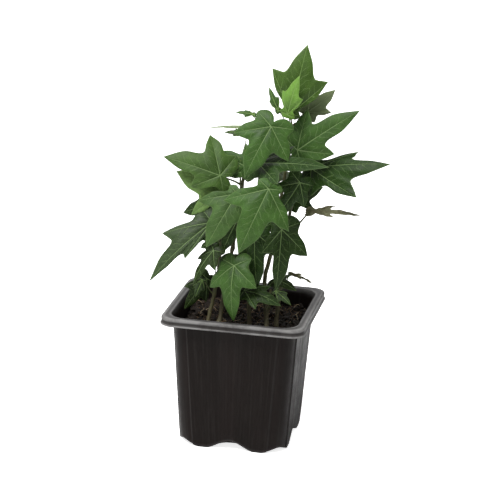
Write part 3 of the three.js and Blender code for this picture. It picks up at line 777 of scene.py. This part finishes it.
def leaf_blade(joint, inner, rim, face, crinkle, seed, gap_columns, rows):
    """Points, faces, finishes and vein maps of one blade, with both faces and its thin edge."""
    midrib = rim[0] - joint
    length = float(np.linalg.norm(midrib))
    midrib = midrib - face * (midrib @ face)
    midrib /= np.linalg.norm(midrib)
    side = np.cross(face, midrib)
    even = np.linspace(0, 1, gap_columns + 1)[:-1]
    part = 0.5 * (1 - np.cos(math.pi * even)) / 2 + 0.5 * even
    spoke_of = np.concatenate([k + part for k in range(spokes)])
    columns = len(spoke_of)
    shares = 1 - (1 - np.linspace(0, 1, rows + 1)[1:]) ** 1.15
    outward = shares[:, None]
    # where the five main veins end, on the flat leaf, and which of them each column belongs to
    flat_tips = np.array([[(rim[s] - joint) @ midrib, (rim[s] - joint) @ side] for s in main_vein_spokes])
    vein_lengths = np.linalg.norm(flat_tips, axis=1)
    vein_ways = flat_tips / vein_lengths[:, None]
    by_midrib = (spoke_of < 2) | (spoke_of >= 18)
    sector = np.select([by_midrib, spoke_of < 6, spoke_of < 10, spoke_of < 14], [0, 1, 2, 3], 4)
    # every ring lies on a bow from the joint through the half-way ring to the edge
    grid = []
    for share in shares:
        a = (share - inner_share) * (share - 1) / inner_share
        b = share * (share - 1) / (inner_share * (inner_share - 1))
        c = share * (share - inner_share) / (1 - inner_share)
        grid.append(around_ring(a * joint + b * inner + c * rim, spoke_of, share**1.5))
    grid = np.array(grid)
    flat = np.stack([(grid - joint) @ midrib, (grid - joint) @ side], -1)
    # dome between the veins, sink along them, and let the margin wave
    nearest = np.full(grid.shape[:2], 1.0)
    for way, reach in zip(vein_ways, vein_lengths):
        along = flat @ way
        across = np.abs(flat[..., 0] * way[1] - flat[..., 1] * way[0])
        distance = np.where(along < 0, np.hypot(along, across), across)
        nearest = np.minimum(nearest, np.where(along > reach * 1.02, 1.0, distance))
    spread = 0.055 * length + 0.0006
    dome = (1 - np.exp(-((nearest / spread) ** 1.5))) * dome_share * length * (1 - outward**3)
    groove = -groove_depth * np.exp(-((nearest / groove_half_width) ** 2)) * (1 - 0.6 * outward)
    phase = np.random.default_rng(seed).uniform(0, 2 * math.pi, 3)
    turn = spoke_of / spokes * 2 * math.pi
    wave = sum(size * np.sin(turn * beat + p) for size, beat, p in zip((1.0, 0.6, 0.4), (5, 9, 14), phase))
    wave = wave * np.clip(np.abs(((spoke_of + 10) % spokes) - 10) * 0.5 + 0.2, 0, 1)
    lift = dome + groove + wave * wave_share * length * outward**2.5
    if crinkle:
        for r in range(rows):
            for c in range(columns):
                spot = Vector((flat[r, c, 0] * 260, flat[r, c, 1] * 420, seed))
                lift[r, c] += crinkle * noise.noise(spot) * min(1, shares[r] * 2)
    # the blade's own up at every point, so that a curled blade stays even in thickness
    normal = np.cross(np.gradient(grid, axis=0), np.roll(grid, -1, 1) - np.roll(grid, 1, 1))
    normal /= np.maximum(np.linalg.norm(normal, axis=2), 1e-12)[..., None]
    normal = normal * np.where((normal @ face) < 0, -1, 1)[..., None]
    normal = normal * 0.8 + face * 0.2
    half = half_thickness * (1 - 0.7 * outward**6)
    middle_lift = float(lift[0].mean()) * 0.5
    points = np.vstack([
        (grid + normal * (lift + half)[..., None]).reshape(-1, 3),
        (grid + normal * (lift - half)[..., None]).reshape(-1, 3),
        joint + face * (middle_lift + half_thickness),
        joint + face * (middle_lift - half_thickness),
    ])
    last = rows - 1
    count = columns * rows
    faces, finish, corners = [], [], []

    def add_face(face_points, places, face_finish):
        faces.append(face_points)
        corners.append(places)
        finish.append(face_finish)

    def place_by_vein(r, c, owner):
        """Distance from the owner's main vein and along it in centimetres, then two shares:
        along that vein, and from the joint out to the edge."""
        x, y = flat[r, c]
        way = vein_ways[owner]
        along = x * way[0] + y * way[1]
        across = x * way[1] - y * way[0]
        return across * 100, along * 100, along / vein_lengths[owner], shares[r]

    at_joint = (0.0, 0.0, 0.0, 0.0)
    for c in range(columns):
        d = (c + 1) % columns
        here = [place_by_vein(r, c, sector[c]) for r in range(rows)]
        beyond = [place_by_vein(r, d, sector[c]) for r in range(rows)]
        add_face([2 * count, c, d], [at_joint, here[0], beyond[0]], 0)
        add_face([2 * count + 1, count + d, count + c], [at_joint, beyond[0], here[0]], 1)
        for r in range(last):
            a, b = r * columns + c, r * columns + d
            e, f = a + columns, b + columns
            four = [here[r], here[r + 1], beyond[r + 1], beyond[r]]
            add_face([a, e, f, b], four, 0)
            add_face([count + b, count + f, count + e, count + a], four[::-1], 1)
        a, b = last * columns + c, last * columns + d
        add_face([a, count + a, count + b, b], [here[last], here[last], beyond[last], beyond[last]], 0)
    return points, faces, finish, corners


leaf_veins, vein_in, vein_out = new_group(
    "leaf_veins",
    [("Beside", "NodeSocketVector", None), ("Share", "NodeSocketVector", None),
     ("Spacing", "NodeSocketFloat", 0.42)],
    [("Main", "NodeSocketFloat"), ("Side", "NodeSocketFloat"), ("Net", "NodeSocketFloat"),
     ("Height", "NodeSocketFloat")],
)
beside = place_node(leaf_veins, "ShaderNodeSeparateXYZ", {0: vein_in["Beside"]}).outputs
shares = place_node(leaf_veins, "ShaderNodeSeparateXYZ", {0: vein_in["Share"]}).outputs
off_vein = reckon(leaf_veins, "ABSOLUTE", beside["X"])
vein_width = ramp_between(leaf_veins, shares["X"], 0.0, 1.0, 0.030, 0.008)
nearness = reckon(leaf_veins, "DIVIDE", off_vein, vein_width)
main_vein = ramp_between(leaf_veins, nearness, 0.55, 1.5, 1.0, 0.0)
# side veins slant away from the main vein at even steps, offset on its other side, and wander
jitter = clouds(leaf_veins, vein_in["Beside"], 1.6, 3.0)
one_side = reckon(leaf_veins, "GREATER_THAN", beside["X"], 0.0)
slanted = reckon(leaf_veins, "MULTIPLY_ADD", off_vein, -1.0, beside["Y"])
counted = reckon(leaf_veins, "DIVIDE", slanted, vein_in["Spacing"])
shifted = reckon(leaf_veins, "MULTIPLY_ADD", one_side, 0.47, counted)
wandering = reckon(leaf_veins, "MULTIPLY_ADD", jitter, 1.5, shifted)
within = reckon(leaf_veins, "FRACT", wandering)
off_side = reckon(leaf_veins, "ABSOLUTE", reckon(leaf_veins, "SUBTRACT", within, 0.5))
side_vein = ramp_between(leaf_veins, off_side, 0.016, 0.055, 1.0, 0.0)
fade = ramp_between(leaf_veins, shares["Y"], 0.72, 0.97, 1.0, 0.0)
side_vein = reckon(leaf_veins, "MULTIPLY", side_vein, fade)
cells = place_node(leaf_veins, "ShaderNodeTexVoronoi", {"Vector": vein_in["Beside"], "Scale": 8.5},
                   feature="DISTANCE_TO_EDGE", voronoi_dimensions="2D")
net = ramp_between(leaf_veins, cells.outputs["Distance"], 0.0, 0.10, 1.0, 0.0)
height = reckon(leaf_veins, "MULTIPLY_ADD", side_vein, 0.55, main_vein)
height = reckon(leaf_veins, "MULTIPLY_ADD", net, 0.16, height)
for label, value in (("Main", main_vein), ("Side", side_vein), ("Net", net), ("Height", height)):
    leaf_veins.links.new(value, vein_out[label])


def leaf_finish(name, vein_colour, vein_shares, tint, roughness, relief, blotches, **constants):
    """A leaf face: its own tone, painted shade that darkens it by the stalk, uneven patches, pale
    veins of three kinds, each with its share of vein_colour, spots, and a thin pale margin."""
    finish, tree, skin = new_finish(name, **constants)
    beside = place_node(tree, "ShaderNodeUVMap", uv_map="beside_vein").outputs["UV"]
    share = place_node(tree, "ShaderNodeUVMap", uv_map="vein_share").outputs["UV"]
    where = object_place(tree)
    tone = place_node(tree, "ShaderNodeAttribute", attribute_name="tone").outputs["Color"]
    spots = place_node(tree, "ShaderNodeAttribute", attribute_name="spots").outputs["Fac"]
    vein_inputs = {"Beside": beside, "Share": share, "Spacing": 0.55}
    veins = place_node(tree, "ShaderNodeGroup", vein_inputs, node_tree=leaf_veins).outputs
    outward = part_of(tree, share, "Y")
    colour = mix_colours(tree, tint[3], tone, tint[:3] + (1,))
    # painted shade: the blade is made darker towards the stalk
    painted_shade_by_stalk = ramp_between(tree, outward, 0.05, 0.85, 0.75, 0.0)
    colour = mix_colours(tree, painted_shade_by_stalk, colour, (0.50, 0.56, 0.42, 1), "MULTIPLY")
    colour, patch = toned(tree, colour, where, 95.0, blotches)
    colour, _ = toned(tree, colour, where, 620.0, blotches * 0.7)
    for kind, vein_share in zip(("Net", "Side", "Main"), reversed(vein_shares)):
        colour = mix_colours(tree, reckon(tree, "MULTIPLY", veins[kind], vein_share), colour, vein_colour)
    fleck = place_node(tree, "ShaderNodeTexVoronoi", {"Vector": where, "Scale": 330.0}, feature="F1")
    fleck_group = ramp_between(tree, clouds(tree, where, 240.0, 3.0), 0.5, 0.6)
    flecks = reckon(tree, "MULTIPLY", ramp_between(tree, fleck.outputs["Distance"], 0.42, 0.2), fleck_group)
    colour = mix_colours(tree, reckon(tree, "MULTIPLY", flecks, spots), colour, (0.17, 0.20, 0.05, 1))
    margin = ramp_between(tree, outward, 0.955, 1.0, 0.0, 0.35)
    tree.links.new(mix_colours(tree, margin, colour, vein_colour), skin["Base Color"])
    tree.links.new(ramp_between(tree, patch, 0.3, 0.7, *roughness), skin["Roughness"])
    vein_relief = reckon(tree, "MULTIPLY", veins["Height"], relief)
    raised = reckon(tree, "MULTIPLY_ADD", clouds(tree, where, 1500.0, 2.0), 0.30, vein_relief)
    raise_skin(tree, skin, 0.7, 0.00022, raised)
    return finish


no_tint = (0.0, 0.0, 0.0, 0.0)
upper_face = leaf_finish("leaf_upper_face", (0.155, 0.235, 0.088, 1), (0.80, 0.40, 0.19), no_tint,
                         (0.40, 0.56), -1.0, 0.32, Specular_IOR_Level=0.18)
young_face = leaf_finish("young_leaf_face", (0.20, 0.32, 0.09, 1), (0.75, 0.40, 0.20), no_tint,
                         (0.40, 0.52), -1.0, 0.26, Specular_IOR_Level=0.22)
under_face = leaf_finish("leaf_under_face", (0.17, 0.21, 0.11, 1), (0.6, 0.3, 0.14),
                         (0.10, 0.125, 0.065, 0.5), (0.6, 0.72), 1.0, 0.14, Specular_IOR_Level=0.3)
dried_face = leaf_finish("withered_leaf_face", (0.17, 0.14, 0.08, 1), (0.5, 0.3, 0.2),
                         (0.12, 0.115, 0.065, 0.3), (0.65, 0.8), -1.0, 0.4, Specular_IOR_Level=0.25)

stalk_skin, tree, skin = new_finish("leaf_stalk", Specular_IOR_Level=0.45)
colour, patch = toned(tree, (0.085, 0.105, 0.032, 1), object_place(tree), 110.0, 0.35)
colour = mix_colours(tree, ramp_between(tree, patch, 0.5, 0.66, 0.0, 0.55), colour, (0.075, 0.040, 0.018, 1))
tree.links.new(colour, skin["Base Color"])
tree.links.new(ramp_between(tree, patch, 0.3, 0.7, 0.45, 0.6), skin["Roughness"])

# leaf tones on this plant: fresh at the top and blue-green low down and inside. The lit greens
# are partly the leaves' own tone and partly painted light where the lamp falls; the deep and
# shade greens are partly their own tone and partly painted shade low down and inside
fresh, painted_light_green, mid = (0.033, 0.074, 0.007), (0.044, 0.090, 0.016), (0.032, 0.078, 0.012)
painted_shade_green, shade, blue_green = (0.009, 0.030, 0.001), (0.009, 0.026, 0.001), (0.029, 0.050, 0.018)
pale_young, dull, dried = (0.100, 0.205, 0.030), (0.012, 0.027, 0.002), (0.190, 0.195, 0.105)
grey_green, painted_half_light_green, painted_light_pale = (0.150, 0.205, 0.080), (0.043, 0.089, 0.020), (0.130, 0.220, 0.060)
# lit greens carry painted light, deep and shade greens carry painted shade
leaves_by_tone = {
    fresh: "top",
    painted_light_green: "left",
    pale_young: "folded",
    painted_light_pale: "left_low",
    grey_green: "upright left_edge",
    painted_half_light_green: "front_left",
    painted_shade_green: "point_right right reddish hanging_front shade_lower",
    shade: "right_shade left_shade left_dark hanging_right shade_upper low_front",
    blue_green: "left_long wall_small low_right_small",
    dull: "left_curl left_pale wall low_right",
    dried: "withered low_withered",
}
leaf_tones = {"leaf_" + leaf: tone for tone, leaves in leaves_by_tone.items() for leaf in leaves.split()}
leaf_spots = {"leaf_spotted": 0.75, "leaf_wall": 0.5, "leaf_left_edge": 0.3, "leaf_low_right": 0.25}
slots = {entry["node"]: entry["material_slot"] for entry in frame["record"]["subparts"]}

for number, name in enumerate(sorted(n for n in frame["nodes"] if n.startswith("leaf_"))):
    joint, inner, rim, face, stalk = read_leaf(name)
    small = np.linalg.norm(rim[0] - joint) < 0.028
    withered = slots[name] == "leaf_withered"
    gap_columns, rows, stalk_width = (4, 10, 0.0004) if small else (6, 16, 0.00068)
    crinkle = 0.0016 if withered else 0.0
    points, faces, finish, corners = leaf_blade(
        joint, inner, rim, face, crinkle, number + 5, gap_columns, rows)
    # the stalk starts under the blade and runs on to the shoot's skin
    onward = (stalk[-1] - stalk[-2]) / np.linalg.norm(stalk[-1] - stalk[-2])
    line = smooth_line(np.vstack([joint, stalk[1:], stalk[-1] + onward * 0.0012]), 40)
    widths = stalk_width * (0.8 + 0.35 * np.linspace(0, 1, 40) ** 2)
    widths[:2] *= (0.4, 0.8)
    stalk_points, stalk_faces = swept_tube(line, widths, 12)
    mesh = joined_mesh("ivy_" + name, [(points, faces), (stalk_points, stalk_faces)])
    placed = np.array([place for face_places in corners for place in face_places])
    placed = np.vstack([placed, np.zeros((len(mesh.loops) - len(placed), 4))]).astype(np.float32)
    mesh.uv_layers.new(name="beside_vein")
    mesh.uv_layers.new(name="vein_share")
    mesh.uv_layers["beside_vein"].data.foreach_set("uv", placed[:, 0:2].ravel())
    mesh.uv_layers["vein_share"].data.foreach_set("uv", placed[:, 2:4].ravel())
    colour = np.array(leaf_tones.get(name, mid)) * np.random.default_rng(number).uniform(0.93, 1.07)
    tone = mesh.attributes.new("tone", "FLOAT_COLOR", "POINT")
    tone.data.foreach_set("color", np.tile([*colour, 1.0], len(mesh.vertices)).astype(np.float32))
    spots = mesh.attributes.new("spots", "FLOAT", "POINT")
    spots.data.foreach_set("value", np.full(len(mesh.vertices), leaf_spots.get(name, 0.05), np.float32))
    mesh.polygons.foreach_set("material_index", finish + [2] * len(stalk_faces))
    upper = {"leaf_young": young_face, "leaf_withered": dried_face}.get(slots[name], upper_face)
    leaf = new_piece("ivy_" + name, mesh, upper, dried_face if withered else under_face, stalk_skin)
    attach(leaf, "root")
    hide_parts(name)

# ---------------------------------------------------------------------------
# Studio
# A plain table top that runs on out of sight, in a room that looks white but lights the
# plant only dimly. A large soft lamp stands high on the left, with a weak one on the
# right and one behind.
# ---------------------------------------------------------------------------
table = bmesh.new()
bmesh.ops.create_grid(table, x_segments=2, y_segments=2, size=6.0)
table_mesh = bpy.data.meshes.new("table_top")
table.to_mesh(table_mesh)
table.free()
white, tree, skin = new_finish("matt_white", Roughness=0.9, Specular_IOR_Level=0.1, Emission_Strength=0.8)
grain = place_node(tree, "ShaderNodeTexNoise", {"Scale": 3.0}).outputs["Fac"]
tree.links.new(mix_colours(tree, grain, (0.90, 0.90, 0.90, 1), (0.93, 0.93, 0.93, 1)), skin["Base Color"])
glow = place_node(tree, "ShaderNodeLightPath").outputs["Is Camera Ray"]
tree.links.new(mix_colours(tree, glow, (0, 0, 0, 1), (1, 1, 1, 1)), skin["Emission Color"])
table_top = new_piece("table_top", table_mesh, white)

room = bpy.data.worlds.new("white_room")
room.use_nodes = True
tree = room.node_tree
seen_directly = place_node(tree, "ShaderNodeLightPath").outputs["Is Camera Ray"]
to_the_right = part_of(tree, place_node(tree, "ShaderNodeTexCoord").outputs["Generated"], "X")
room_light = ramp_between(tree, to_the_right, -0.8, 0.8, 0.52, 0.28)
brightness = reckon(tree, "MAXIMUM", seen_directly, room_light)
fill_inputs(tree, tree.nodes["Background"], {"Color": (1.0, 1.0, 1.0, 1), "Strength": brightness})
bpy.context.scene.world = room
bpy.context.scene.view_settings.view_transform = "Standard"


def soft_lamp(name, place, size, power):
    """A round lamp aimed at the middle of the plant."""
    light = bpy.data.lights.new(name, "AREA")
    light.shape = "DISK"
    light.size = size
    light.energy = power
    lamp = new_piece(name, light)
    lamp.location = place
    lamp.rotation_euler = (Vector((0, 0, 0.14)) - Vector(place)).to_track_quat("-Z", "Y").to_euler()


soft_lamp("key_lamp", (-0.5, -0.85, 1.85), 1.1, 50.0)
soft_lamp("fill_lamp", (1.3, -0.2, 1.6), 1.2, 4.0)
soft_lamp("back_lamp", (-0.4, 1.7, 1.4), 1.6, 15.0)

# ---------------------------------------------------------------------------
# Camera
# It looks down at the plant from a little to the right, from about one and a half
# metres away, with a long lens and a slight tilt to the side.
# ---------------------------------------------------------------------------
camera_distance = 1.5
camera_turn, camera_rise, camera_roll = (math.radians(a) for a in (10.83, 16.9, 1.95))
level = Vector((math.cos(camera_turn), math.sin(camera_turn), 0))
forward = Vector((-math.sin(camera_turn), math.cos(camera_turn), 0))
back = Vector((0, 0, 1)) * math.sin(camera_rise) - forward * math.cos(camera_rise)
upright = back.cross(level)
right = level * math.cos(camera_roll) + upright * math.sin(camera_roll)
up = upright * math.cos(camera_roll) - level * math.sin(camera_roll)
aim = Vector((0, 0, 0.060)) + right * 0.00481 + up * 0.06979
camera = new_piece("camera", bpy.data.cameras.new("camera"))
turned = Matrix((right, up, back)).transposed().to_4x4()
camera.matrix_world = Matrix.Translation(aim + back * camera_distance) @ turned
camera.data.sensor_width = 36.0
camera.data.lens = 155.1
bpy.context.scene.camera = camera

bpy.context.view_layer.update()
